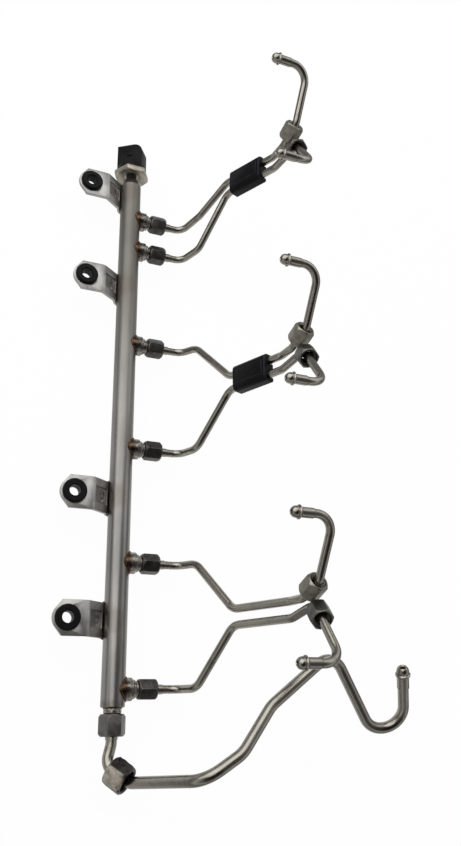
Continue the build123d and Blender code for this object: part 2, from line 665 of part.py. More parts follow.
def sensor_connector():
    """Moulded connector: round base, elbow block with its plug socket facing sideways, latch nose."""
    half = HOUSING_WIDTH / 2
    profile = Pos(0, HOUSING_LENGTH / 2) * Rectangle(HOUSING_WIDTH, HOUSING_LENGTH)
    corner = profile.vertices().group_by(Axis.Y)[-1].sort_by(Axis.X)[-1]
    profile = fillet(corner, HOUSING_ELBOW_R)
    block = extrude(Plane.XZ * profile, HOUSING_DEPTH / 2, both=True)
    base = Pos(0, 0, HOUSING_BASE_LENGTH / 2) * Cylinder(HOUSING_BASE_D / 2, HOUSING_BASE_LENGTH)
    body = block + base
    body -= Pos(0, 0, SENSOR_STEM_LENGTH / 2) * Cylinder(SENSOR_STEM_D / 2, SENSOR_STEM_LENGTH)
    mouth = Box(2 * SOCKET_REACH, SOCKET_DEPTH, SOCKET_LENGTH)
    mouth = fillet(mouth.edges().filter_by(Axis.X), HOUSING_EDGE_R)
    body -= Pos(-half, 0, socket_middle()) * mouth
    latch_z = HOUSING_LENGTH - LATCH_FROM_END
    face_y = housing_front() * HOUSING_DEPTH / 2
    body += Pos(0, face_y, latch_z) * Box(LATCH_WIDTH, 2 * LATCH_RISE, LATCH_LENGTH)
    return housing_place().location * body


def housing_front():
    """Sign of the housing's local Y on the side that faces up."""
    return -1 if housing_place().y_dir.Z < 0 else 1


def sensor_pins():
    """Contact blades in the connector's socket, rooted in its floor."""
    floor_x = -HOUSING_WIDTH / 2 + SOCKET_REACH
    length = PIN_LENGTH + PIN_ROOT
    x = floor_x - PIN_LENGTH + length / 2
    blade = Box(length, PIN_THICKNESS, PIN_WIDTH)
    spread = (PIN_COUNT - 1) / 2
    blades = [Pos(x, 0, socket_middle() + (k - spread) * PIN_PITCH) * blade for k in range(PIN_COUNT)]
    return housing_place().location * Compound(children=blades)


def write(name, shape):
    """Write one node in the mounting frame."""
    export_step(Pos(-ORIGIN.X, -ORIGIN.Y, -ORIGIN.Z) * shape, f"parts/{name}.step")


def main():
    os.makedirs("parts", exist_ok=True)
    write("rail_tube", rail_tube())
    for cylinder in range(1, CYLINDERS + 1):
        write(f"port_fitting_{cylinder}", port_fitting(cylinder))
        write(f"rail_nut_{cylinder}", rail_nut(cylinder))
        write(f"rail_sleeve_{cylinder}", rail_sleeve(cylinder))
        write(f"injector_line_{cylinder}", injector_line(cylinder))
        write(f"injector_sleeve_{cylinder}", injector_sleeve(cylinder))
        write(f"injector_nut_{cylinder}", loose_nut(cylinder))
    for pair in CLIPPED_PAIRS:
        write(f"line_clip_{pair}", line_clip(pair))
    write("feed_nipple", feed_nipple())
    write("feed_rail_nut", feed_rail_nut())
    write("feed_rail_sleeve", feed_rail_sleeve())
    write("feed_line", feed_line())
    write("feed_pump_sleeve", feed_sleeve(feed_places()[1], PUMP_SLEEVE_LENGTH))
    write("feed_pump_nut", feed_pump_nut())
    for number, station in enumerate(BRACKET_STATIONS, start=1):
        write(f"bracket_{number}", bracket(station))
        write(f"grommet_{number}", grommet(station))
    write("sensor_body", sensor_body())
    write("sensor_connector", sensor_connector())
    write("sensor_pins", sensor_pins())


main()
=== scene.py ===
"""Finish, fine detail, stage and camera for a high-pressure fuel rail.

The tubes, sleeves and grommets keep their CAD meshes and get their finishes here. Nuts, fittings, brackets,
clips and the sensor are copies with eased edges, and threads, braze and tube marks are new pieces on them.
"""

import math

import bpy
from bpy.props import FloatProperty, FloatVectorProperty, PointerProperty
from mathutils import Matrix, Vector


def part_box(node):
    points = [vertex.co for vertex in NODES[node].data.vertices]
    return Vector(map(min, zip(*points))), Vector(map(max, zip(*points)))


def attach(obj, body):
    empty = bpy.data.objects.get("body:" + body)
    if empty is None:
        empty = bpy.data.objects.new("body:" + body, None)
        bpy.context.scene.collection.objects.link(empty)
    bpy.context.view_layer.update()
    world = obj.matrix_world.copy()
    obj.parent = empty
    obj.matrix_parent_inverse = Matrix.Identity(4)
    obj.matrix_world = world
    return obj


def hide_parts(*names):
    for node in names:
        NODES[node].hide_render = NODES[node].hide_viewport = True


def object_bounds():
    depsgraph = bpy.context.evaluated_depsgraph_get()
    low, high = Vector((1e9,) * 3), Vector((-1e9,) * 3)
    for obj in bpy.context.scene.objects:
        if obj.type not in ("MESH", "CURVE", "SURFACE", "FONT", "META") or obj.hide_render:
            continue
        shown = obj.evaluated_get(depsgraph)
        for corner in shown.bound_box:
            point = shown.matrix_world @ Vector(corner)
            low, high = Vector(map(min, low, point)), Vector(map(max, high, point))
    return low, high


bl_info = {
    "name": "Fuel Rail Finish",
    "version": (1, 0, 0),
    "blender": (4, 5, 0),
    "location": "View3D > Sidebar > Fuel Rail",
    "description": "Finishes and fine detail of a fuel rail with its lines, on a pale studio floor",
    "category": "Object",
}

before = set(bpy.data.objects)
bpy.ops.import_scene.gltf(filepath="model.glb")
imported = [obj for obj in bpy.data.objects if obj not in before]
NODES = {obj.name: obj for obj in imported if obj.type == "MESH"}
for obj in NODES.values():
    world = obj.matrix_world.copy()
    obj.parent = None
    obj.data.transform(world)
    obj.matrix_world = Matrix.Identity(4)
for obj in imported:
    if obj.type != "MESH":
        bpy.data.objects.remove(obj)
CAD_BOX = [list(corner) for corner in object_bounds()]
MM = 0.001
PART_MIDDLE = (Vector(CAD_BOX[0]) + Vector(CAD_BOX[1])) / 2

PORTS = range(1, 7)
BRACKETS = range(1, 5)
CLIPS = sorted(name for name in NODES if name.startswith("line_clip"))
LOOSE_NUTS = [f"injector_nut_{k}" for k in PORTS] + ["feed_pump_nut"]
RAIL_NUTS = [f"rail_nut_{k}" for k in PORTS]

# Marks that the bending jaws pressed, as steps behind the sleeve's end
JAW_STEPS = (1.2 * MM, 2.6 * MM, 5.4 * MM)
TIP_JAW_STEP = 0.8 * MM
JAW_RADIUS = 2.92 * MM
JAW_WIRE = 0.22 * MM
TIP_JAW_WIRE = 0.25 * MM

# Internal thread of the loose nuts
THREAD_PITCH = 1.5 * MM
THREAD_TURNS = 4
THREAD_RIDGE = 0.62 * MM
THREAD_DEPTH = 0.75 * MM
THREAD_FROM_MOUTH = 0.9 * MM
THREAD_STEPS = 40
THREAD_SMOOTH = math.radians(30)
THREAD_MERGE = 1e-6

# Beads of braze and weld
PORT_BEAD = 0.75 * MM
FEED_BEAD = 0.5 * MM
WELD_BEAD = 0.9 * MM
WELD_LIFT = 0.5 * MM
BRAZE_LIFT = 0.15 * MM
WELD_ARC = range(188, 243, 3)
PORT_TURN = range(0, 360, 5)
FEED_TURN = range(0, 360, 6)
FEED_SINK = 0.2 * MM
LUMP_SIZE = 1.6 * MM

# Pump nut's flat that is painted pale as a painted highlight: the way it faces and its distance from the
# nut's middle
PAINTED_LIT_FLAT_WAY = (-0.67, -0.10, 0.73)
PAINTED_LIT_FLAT_REACH = 9.5 * MM

# Widths of the eased edges, and the angles that part a face from an edge
FITTING_EASE = 0.25 * MM
CLIP_EASE = 0.5 * MM
CONNECTOR_EASE = 0.6 * MM
SENSOR_EASE = 0.5 * MM
EASE_ANGLE = math.radians(24)
SMOOTH_ANGLE = math.radians(26)
FLAT_ANGLE = math.radians(0.8)
MERGE = 2e-6

# Stage: lamps' places from the part's middle, the dark opening of the tent and the floor
KEY_PLACE = (-0.55, 0.55, 0.9)
KEY_SIZE = 1.7
RIM_PLACE = (0.9, 0.9, 0.7)
RIM_SIZE = 1.3
TENT_OPENING = (-0.05, -0.40, 0.90)
FLOOR_SIZE = 12
FLOOR_MIDDLE = (0.1, 0.2)
FLOOR_DROP = 0.2 * MM
PAPER_GLOW = 0.97

# Camera, fitted to the photograph: its place, right, up, back and lens, in the part's frame
CAMERA_PLACE = (-0.12745, -0.06865, 0.58046)
CAMERA_RIGHT = (0.9155, -0.0132, 0.4020)
CAMERA_UP = (-0.128, 0.938, 0.3223)
CAMERA_BACK = (-0.3813, -0.3465, 0.8570)
CAMERA_LENS = 34.04


def middle(node):
    low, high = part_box(node)
    return (Vector(low) + Vector(high)) / 2


def linear(code):
    """Linear colour of an sRGB hex code."""
    parts = [int(code[i:i + 2], 16) / 255 for i in (0, 2, 4)]
    return [c / 12.92 if c <= 0.04045 else ((c + 0.055) / 1.055) ** 2.4 for c in parts] + [1.0]


def add_node(tree, kind, links=None, **settings):
    """One node with its settings; links gives an input the socket that feeds it, or its value."""
    node = tree.nodes.new(kind)
    for name, value in settings.items():
        setattr(node, name, value)
    for key, value in (links or {}).items():
        if isinstance(value, bpy.types.NodeSocket):
            tree.links.new(value, node.inputs[key])
        else:
            node.inputs[key].default_value = value
    return node


def new_finish(name):
    """Empty material with its tree, its shader and the point on the surface."""
    finish = bpy.data.materials.new(name)
    finish.use_nodes = True
    tree = finish.node_tree
    point = add_node(tree, "ShaderNodeTexCoord").outputs["Object"]
    return finish, tree, tree.nodes["Principled BSDF"], point


def speckle(tree, point, size_mm, stretch=(1, 1, 1), detail=2.0):
    """Noise whose grains are size_mm apart, made longer along an axis by its stretch."""
    scale = [1 / (size_mm * MM * s) for s in stretch]
    spread = add_node(tree, "ShaderNodeMapping", {"Vector": point, "Scale": scale})
    return add_node(tree, "ShaderNodeTexNoise", {
        "Vector": spread.outputs["Vector"], "Scale": 1.0, "Detail": detail}).outputs["Fac"]


def ramp(tree, fac, *stops):
    """Colour ramp from stops, each a place with a hex code or a colour of the settings."""
    node = add_node(tree, "ShaderNodeValToRGB", {"Fac": fac})
    marks = node.color_ramp.elements
    for place, code in stops[2:]:
        marks.new(place)
    for mark, (place, code) in zip(marks, stops):
        mark.position = place
        mark.color = linear(code) if isinstance(code, str) else (*code, 1.0)
    return node.outputs["Color"]


def level(tree, fac, low, high):
    """Number that runs from low to high with the factor."""
    return add_node(tree, "ShaderNodeMapRange", {
        "Value": fac, "To Min": low, "To Max": high}).outputs["Result"]


def band(tree, distance, near_mm, far_mm):
    """1 within near_mm of a place and 0 beyond far_mm."""
    return add_node(tree, "ShaderNodeMapRange", {
        "Value": distance, "From Min": near_mm * MM, "From Max": far_mm * MM,
        "To Min": 1.0, "To Max": 0.0}, interpolation_type="SMOOTHSTEP").outputs["Result"]


def product(tree, first, second):
    return add_node(tree, "ShaderNodeMath", {0: first, 1: second}, operation="MULTIPLY").outputs["Value"]


def total(tree, first, second):
    return add_node(tree, "ShaderNodeMath", {0: first, 1: second}, operation="ADD").outputs["Value"]


def nearest(tree, point, places):
    """Distance to the nearest of the places."""
    found = None
    for place in places:
        away = add_node(tree, "ShaderNodeVectorMath", {0: point, 1: place}, operation="DISTANCE")
        away = away.outputs["Value"]
        if found is not None:
            away = add_node(tree, "ShaderNodeMath", {0: found, 1: away}, operation="MINIMUM").outputs["Value"]
        found = away
    return found


def over(tree, fac, first, second):
    """First colour with the second over it by the factor."""
    # The Mix node's colour inputs are its sockets 6 and 7, and its colour output is 2
    node = add_node(tree, "ShaderNodeMix", {0: fac, 6: first, 7: second}, data_type="RGBA")
    return node.outputs[2]


def bump(tree, shader, height, depth_mm, strength=1.0):
    node = add_node(tree, "ShaderNodeBump", {
        "Height": height, "Distance": depth_mm * MM, "Strength": strength})
    tree.links.new(node.outputs["Normal"], shader.inputs["Normal"])


def metal(shader):
    """Make the shader a bare metal's."""
    shader.inputs["Metallic"].default_value = 1.0


def heat_tinted_tube(settings):
    """Drawn stainless tube: fine scratches along it, straw and brown oxide where it was brazed."""
    finish, tree, shader, point = new_finish("drawn_stainless_rail")
    metal(shader)
    rail = middle("rail_tube")
    # Drawing lines are about 0.3 mm apart and run far along the tube, so the light smears round it
    lines = speckle(tree, point, 0.35, (1, 90, 1), 3.0)
    cloud = speckle(tree, point, 22, (1, 2.5, 1), 3.0)
    steel = ramp(tree, cloud, (0.3, settings.rail_shade), (0.7, settings.rail_light))
    steel = over(tree, level(tree, lines, 0.0, 0.35), steel, linear("5F5B57"))
    # The half towards the sensor is duller and a little olive, and shows no clear stripes
    length = add_node(tree, "ShaderNodeSeparateXYZ", {"Vector": point}).outputs["Y"]
    dull = add_node(tree, "ShaderNodeMapRange", {
        "Value": length, "From Min": rail.y - 90 * MM, "From Max": rail.y + 110 * MM}).outputs["Result"]
    steel = over(tree, product(tree, dull, 0.55), steel, linear("5E5B53"))
    # Oxide films colour the steel from brown through straw as it gets further from the flame
    ports = [middle(f"port_fitting_{k}") for k in PORTS]
    seats = [Vector((rail.x - 6 * MM, middle(f"bracket_{k}").y, rail.z + 3 * MM)) for k in BRACKETS]
    ragged = level(tree, speckle(tree, point, 3.5, (1, 1, 1), 4.0), -3.2 * MM, 3.2 * MM)
    away = nearest(tree, point, [Vector((p.x - 6 * MM, p.y, p.z)) for p in ports])
    away = total(tree, away, ragged)
    steel = over(tree, product(tree, band(tree, away, 8, 13), 0.4), steel, linear("7C684C"))
    steel = over(tree, product(tree, band(tree, away, 6.5, 10), 0.8), steel, linear("43291A"))
    weld = total(tree, nearest(tree, point, seats), ragged)
    steel = over(tree, product(tree, band(tree, weld, 7, 14), 0.3), steel, linear("5A4A3C"))
    feed = Vector((rail.x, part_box("rail_tube")[0][1], rail.z))
    end = total(tree, nearest(tree, point, [feed]), ragged)
    steel = over(tree, product(tree, band(tree, end, 8, 11), 0.4), steel, linear("4E3522"))
    tree.links.new(steel, shader.inputs["Base Color"])
    rough = total(tree, level(tree, lines, 0.22, 0.36), product(tree, dull, 0.16))
    tree.links.new(rough, shader.inputs["Roughness"])
    bump(tree, shader, lines, 0.01, 0.4)
    return finish


def drawn_line(settings):
    """Bright drawn steel tube: nearly a mirror, softened by handling and a few brownish stains."""
    finish, tree, shader, point = new_finish("bright_drawn_line")
    metal(shader)
    cloud = speckle(tree, point, 9, (1, 1, 1), 4.0)
    fine = speckle(tree, point, 1.6, (1, 1, 1), 2.0)
    steel = ramp(tree, cloud, (0.25, settings.line_stain), (0.45, settings.line_light), (0.7, "8D8982"))
    tree.links.new(steel, shader.inputs["Base Color"])
    tree.links.new(level(tree, fine, 0.2, 0.26), shader.inputs["Roughness"])
    bump(tree, shader, fine, 0.003, 0.1)
    return finish


def turned_fitting(name, brazed):
    """Turned stainless with its lathe rings, and brown beside the rail if it was brazed there."""
    finish, tree, shader, point = new_finish(name)
    metal(shader)
    cloud = speckle(tree, point, 2.5, (1, 1, 1), 4.0)
    steel = ramp(tree, cloud, (0.35, "5C5853"), (0.6, "B9B4AB"))
    rings = speckle(tree, point, 0.45, (1, 60, 60), 1.0)
    steel = over(tree, product(tree, rings, 0.7), steel, linear("3A3835"))
    if brazed:
        rail_x = middle("rail_tube").x
        along = add_node(tree, "ShaderNodeSeparateXYZ", {"Vector": point}).outputs["X"]
        out = add_node(tree, "ShaderNodeMath", {0: along, 1: rail_x}, operation="SUBTRACT").outputs["Value"]
        ragged = level(tree, speckle(tree, point, 2.0, (1, 1, 1), 4.0), -2.0 * MM, 2.0 * MM)
        out = total(tree, out, ragged)
        steel = over(tree, product(tree, band(tree, out, 7.0, 10.5), 0.8), steel, linear("4C3220"))
    tree.links.new(steel, shader.inputs["Base Color"])
    tree.links.new(level(tree, cloud, 0.2, 0.4), shader.inputs["Roughness"])
    bump(tree, shader, rings, 0.03, 0.6)
    return finish


def plated_nut(name, shade, light, stain, pale_side=None):
    """Plated nut steel: satin flats with faint mill marks and rubbed, cloudy plating; with pale_side, one
    flat painted pale as a painted highlight.
    """
    finish, tree, shader, point = new_finish(name)
    metal(shader)
    cloud = speckle(tree, point, 4, (1, 1, 1), 4.0)
    fine = speckle(tree, point, 0.5, (1, 1, 1), 2.0)
    steel = ramp(tree, cloud, (0.3, shade), (0.7, light))
    rust = ramp(tree, speckle(tree, point, 1.8, (1, 1, 1), 5.0), (0.6, "000000"), (0.72, "FFFFFF"))
    if pale_side:
        # One flat is painted pale beige, a painted highlight where that face mirrors the pale floor
        centre, side, reach = pale_side
        side = Vector(side).normalized()
        height = add_node(tree, "ShaderNodeVectorMath", {0: point, 1: side}, operation="DOT_PRODUCT")
        painted_lit_flat = add_node(tree, "ShaderNodeMapRange", {
            "Value": height.outputs["Value"], "From Min": centre.dot(side) + reach - 1.2 * MM,
            "From Max": centre.dot(side) + reach - 0.6 * MM}).outputs["Result"]
        painted_lit_tone = ramp(tree, cloud, (0.3, "8D8478"), (0.7, "C9C0B2"))
        steel = over(tree, painted_lit_flat, steel, painted_lit_tone)
    steel = over(tree, product(tree, rust, 0.5), steel, linear(stain))
    tree.links.new(steel, shader.inputs["Base Color"])
    tree.links.new(level(tree, fine, 0.32, 0.5), shader.inputs["Roughness"])
    bump(tree, shader, fine, 0.02, 0.5)
    return finish


def worn_and_highlight_edge(name, code):
    """Edge of a nut or plate, rubbed bright by spanners and handling, and painted lighter still as a painted
    highlight along the eased edge.
    """
    finish, tree, shader, point = new_finish(name)
    metal(shader)
    fine = speckle(tree, point, 0.9, (1, 1, 1), 3.0)
    tree.links.new(ramp(tree, fine, (0.3, "5C5A56"), (0.6, code)), shader.inputs["Base Color"])
    tree.links.new(level(tree, fine, 0.22, 0.42), shader.inputs["Roughness"])
    return finish


def pressed_sheet():
    """Pressed stainless sheet: rolled satin with short scratches, tinted where it was welded."""
    finish, tree, shader, point = new_finish("pressed_stainless_sheet")
    metal(shader)
    grain = speckle(tree, point, 0.4, (30, 1, 1), 3.0)
    cloud = speckle(tree, point, 8, (1, 1, 1), 3.0)
    steel = ramp(tree, cloud, (0.3, "929190"), (0.7, "AEACA7"))
    scratch = ramp(tree, speckle(tree, point, 1.1, (1, 9, 1), 4.0), (0.62, "000000"), (0.68, "FFFFFF"))
    steel = over(tree, product(tree, scratch, 0.35), steel, linear("5E5D5C"))
    rail = middle("rail_tube")
    seats = [Vector((rail.x, middle(f"bracket_{k}").y, rail.z)) for k in BRACKETS]
    tint = band(tree, nearest(tree, point, seats), 9, 12.5)
    steel = over(tree, product(tree, tint, 0.5), steel, linear("54483E"))
    tree.links.new(steel, shader.inputs["Base Color"])
    tree.links.new(level(tree, grain, 0.34, 0.5), shader.inputs["Roughness"])
    bump(tree, shader, grain, 0.02, 0.5)
    return finish


def moulded_rubber():
    """Moulded rubber: matt black with a soft sheen and dust in its pores."""
    finish, tree, shader, point = new_finish("moulded_rubber")
    pores = speckle(tree, point, 0.6, (1, 1, 1), 3.0)
    dust = speckle(tree, point, 5, (1, 1, 1), 4.0)
    tree.links.new(ramp(tree, dust, (0.3, "030304"), (0.75, "0C0C0D")), shader.inputs["Base Color"])
    tree.links.new(level(tree, pores, 0.38, 0.58), shader.inputs["Roughness"])
    bump(tree, shader, pores, 0.04, 0.5)
    shader.inputs["IOR"].default_value = 1.52
    shader.inputs["Specular IOR Level"].default_value = 0.12
    return finish


def moulded_plastic(name, shade, light, low, high):
    """Glass-filled nylon moulding: fine spark-eroded grain that breaks up the highlights."""
    finish, tree, shader, point = new_finish(name)
    grain = speckle(tree, point, 0.5, (1, 1, 1), 2.0)
    cloud = speckle(tree, point, 7, (1, 1, 1), 3.0)
    tree.links.new(ramp(tree, cloud, (0.3, shade), (0.7, light)), shader.inputs["Base Color"])
    tree.links.new(level(tree, grain, low, high), shader.inputs["Roughness"])
    bump(tree, shader, grain, 0.03, 0.5)
    shader.inputs["IOR"].default_value = 1.53
    shader.inputs["Specular IOR Level"].default_value = 0.1
    return finish


def plated_brass():
    """Tin-plated brass blade, slightly dull."""
    finish, tree, shader, point = new_finish("plated_brass_blade")
    metal(shader)
    cloud = speckle(tree, point, 1.2, (1, 1, 1), 3.0)
    tree.links.new(ramp(tree, cloud, (0.3, "A88A4A"), (0.7, "CDBB8C")), shader.inputs["Base Color"])
    tree.links.new(level(tree, cloud, 0.25, 0.45), shader.inputs["Roughness"])
    return finish


def braze():
    """Braze and weld metal: lumpy, burnt brown with darker oxide in the hollows."""
    finish, tree, shader, point = new_finish("burnt_braze")
    metal(shader)
    lumps = speckle(tree, point, 1.1, (1, 1, 1), 4.0)
    colour = ramp(tree, lumps, (0.3, "241A14"), (0.5, "553A28"), (0.75, "8E8070"))
    tree.links.new(colour, shader.inputs["Base Color"])
    tree.links.new(level(tree, lumps, 0.3, 0.6), shader.inputs["Roughness"])
    bump(tree, shader, lumps, 0.25, 0.7)
    return finish


def dark_mark():
    """Ring that the bending tool's jaws left: dark, slightly burnished."""
    finish, tree, shader, point = new_finish("tube_mark")
    metal(shader)
    spots = speckle(tree, point, 0.7, (1, 1, 1), 3.0)
    tree.links.new(ramp(tree, spots, (0.35, "2E2C2A"), (0.65, "8A867E")), shader.inputs["Base Color"])
    tree.links.new(level(tree, spots, 0.3, 0.5), shader.inputs["Roughness"])
    return finish


def put_on(names, finish):
    for name in names:
        mesh = NODES[name].data
        mesh.materials.clear()
        mesh.materials.append(finish)


def only(piece):
    """Make this piece the active one and the only one selected."""
    bpy.ops.object.select_all(action="DESELECT")
    piece.select_set(True)
    bpy.context.view_layer.objects.active = piece


def eased_copy(node, finish, edge, width):
    """Copy of a CAD node with merged, eased edges that catch the light; it stands for the node."""
    piece = NODES[node].copy()
    piece.data = NODES[node].data.copy()
    piece.name = f"{node}_eased"
    bpy.context.collection.objects.link(piece)
    piece.hide_render = False
    piece.hide_viewport = False
    only(piece)
    bpy.ops.object.mode_set(mode="EDIT")
    bpy.ops.mesh.select_all(action="SELECT")
    bpy.ops.mesh.remove_doubles(threshold=MERGE)
    bpy.ops.mesh.customdata_custom_splitnormals_clear()
    bpy.ops.mesh.dissolve_limited(angle_limit=FLAT_ANGLE)
    bpy.ops.object.mode_set(mode="OBJECT")
    piece.data.materials.clear()
    piece.data.materials.append(finish)
    piece.data.materials.append(edge)
    ease = piece.modifiers.new("eased_edges", "BEVEL")
    ease.width = width
    ease.segments = 2
    ease.limit_method = "ANGLE"
    ease.angle_limit = EASE_ANGLE
    # The eased edges take the second finish, painted lighter than the faces as a painted highlight
    ease.material = 1
    bpy.ops.object.modifier_apply(modifier=ease.name)
    bpy.ops.object.shade_smooth_by_angle(angle=SMOOTH_ANGLE)
    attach(piece, "root")
    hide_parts(node)
    return piece


def nut_axis(nut):
    """Middle, way out of the mouth, half length and mouth radius of a nut's mesh."""
    flats = sorted(nut.data.polygons, key=lambda face: -face.area)[:6]
    first = flats[0].normal
    second = next(face.normal for face in flats[1:] if abs(face.normal.dot(first)) < 0.9)
    way = first.cross(second).normalized()
    centre = sum((face.center for face in flats), Vector()) / 6
    reach = [(v.co - centre).dot(way) for v in nut.data.vertices]
    centre += way * (max(reach) + min(reach)) / 2
    half = (max(reach) - min(reach)) / 2
    ends = {1: [], -1: []}
    for v in nut.data.vertices:
        step = (v.co - centre).dot(way)
        if abs(abs(step) - half) < 0.3 * MM:
            ends[1 if step > 0 else -1].append(((v.co - centre) - way * step).length)
    if min(ends[1]) < min(ends[-1]):
        way = -way
    return centre, way, half, max(min(ends[1]), min(ends[-1]))


def set_at(piece, centre, way):
    """Move a piece that was made about Z to its place, in its mesh."""
    turn = way.to_track_quat("Z", "Y").to_matrix().to_4x4()
    piece.data.transform(Matrix.Translation(centre) @ turn)


def ring(name, radius, wire, centre, way, finish):
    """Ring round a tube or a joint."""
    bpy.ops.object.select_all(action="DESELECT")
    bpy.ops.mesh.primitive_torus_add(
        major_radius=radius, minor_radius=wire, major_segments=48, minor_segments=10)
    piece = bpy.context.active_object
    piece.name = name
    set_at(piece, Vector(centre), Vector(way))
    piece.data.materials.append(finish)
    bpy.ops.object.shade_smooth()
    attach(piece, "root")
    return piece


def bead(name, points, wire, closed, finish):
    """Lumpy bead of braze along a joint."""
    bpy.ops.object.select_all(action="DESELECT")
    path = bpy.data.curves.new(name, "CURVE")
    path.dimensions = "3D"
    run = path.splines.new("POLY")
    run.points.add(len(points) - 1)
    for spot, place in zip(run.points, points):
        spot.co = (*place, 1.0)
    run.use_cyclic_u = closed
    path.bevel_depth = wire
    path.bevel_resolution = 3
    path.use_fill_caps = True
    piece = bpy.data.objects.new(name, path)
    bpy.context.collection.objects.link(piece)
    only(piece)
    bpy.ops.object.convert(target="MESH")
    piece = bpy.context.active_object
    piece.data.materials.clear()
    piece.data.materials.append(finish)
    lumps = bpy.data.textures.new(name, "CLOUDS")
    lumps.noise_scale = LUMP_SIZE
    swell = piece.modifiers.new("lumps", "DISPLACE")
    swell.texture = lumps
    swell.texture_coords = "LOCAL"
    swell.mid_level = 0.5
    swell.strength = 0.9 * wire
    bpy.ops.object.modifier_apply(modifier=swell.name)
    bpy.ops.object.shade_smooth()
    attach(piece, "root")
    return piece


class FinishSettings(bpy.types.PropertyGroup):
    """Colours and edges of the finishes."""
    rail_shade: FloatVectorProperty(
        name="Rail Shade", description="Darker colour of the rail's steel", default=linear("7A7976")[:3],
        subtype="COLOR", min=0.0, max=1.0)
    rail_light: FloatVectorProperty(
        name="Rail Light", description="Lighter colour of the rail's steel", default=linear("989692")[:3],
        subtype="COLOR", min=0.0, max=1.0)
    line_light: FloatVectorProperty(
        name="Line Light", description="Colour of the clean line tube", default=linear("979389")[:3],
        subtype="COLOR", min=0.0, max=1.0)
    line_stain: FloatVectorProperty(
        name="Line Stain", description="Colour of the stained line tube", default=linear("756F66")[:3],
        subtype="COLOR", min=0.0, max=1.0)
    nut_edge: FloatProperty(
        name="Nut Edge", description="Width of the eased edges of nuts", default=0.45 * MM, min=0.1 * MM,
        max=1.0 * MM, precision=5, unit="LENGTH")
    sheet_edge: FloatProperty(
        name="Sheet Edge", description="Width of the eased edges of the brackets", default=0.35 * MM,
        min=0.1 * MM, max=1.0 * MM, precision=5, unit="LENGTH")


class StageSettings(bpy.types.PropertyGroup):
    """Floor, light and world."""
    floor_colour: FloatVectorProperty(
        name="Floor Colour", description="Colour of the studio floor", default=(0.92, 0.92, 0.92),
        subtype="COLOR", min=0.0, max=1.0)
    key_power: FloatProperty(
        name="Key Power", description="Power of the large soft lamp", default=14.0, min=0.0, unit="POWER")
    rim_power: FloatProperty(
        name="Rim Power", description="Power of the lamp beyond the sensor end", default=4.0, min=0.0,
        unit="POWER")


class RAIL_OT_tubes(bpy.types.Operator):
    """Finish the rail tube, the lines, their sleeves and the grommets"""
    bl_idname = "fuel_rail.tubes"
    bl_label = "Tubes, Sleeves and Grommets"

    def execute(self, context):
        settings = context.scene.rail_finish
        put_on(["rail_tube"], heat_tinted_tube(settings))
        lines = [f"injector_line_{k}" for k in PORTS] + ["feed_line"]
        sleeves = [f"{side}_sleeve_{k}" for side in ("rail", "injector") for k in PORTS]
        put_on(lines + sleeves + ["feed_rail_sleeve", "feed_pump_sleeve"], drawn_line(settings))
        put_on([f"grommet_{k}" for k in BRACKETS], moulded_rubber())
        put_on(["sensor_pins"], plated_brass())
        return {"FINISHED"}


class RAIL_OT_fittings(bpy.types.Operator):
    """Ease the edges of the port fittings and the feed nipple"""
    bl_idname = "fuel_rail.fittings"
    bl_label = "Port Fittings"

    def execute(self, context):
        port = turned_fitting("turned_port_fitting", True)
        nipple = turned_fitting("turned_feed_nipple", False)
        edge = worn_and_highlight_edge("turned_edge", "D2CEC6")
        for k in PORTS:
            eased_copy(f"port_fitting_{k}", port, edge, FITTING_EASE)
        eased_copy("feed_nipple", nipple, edge, FITTING_EASE)
        return {"FINISHED"}


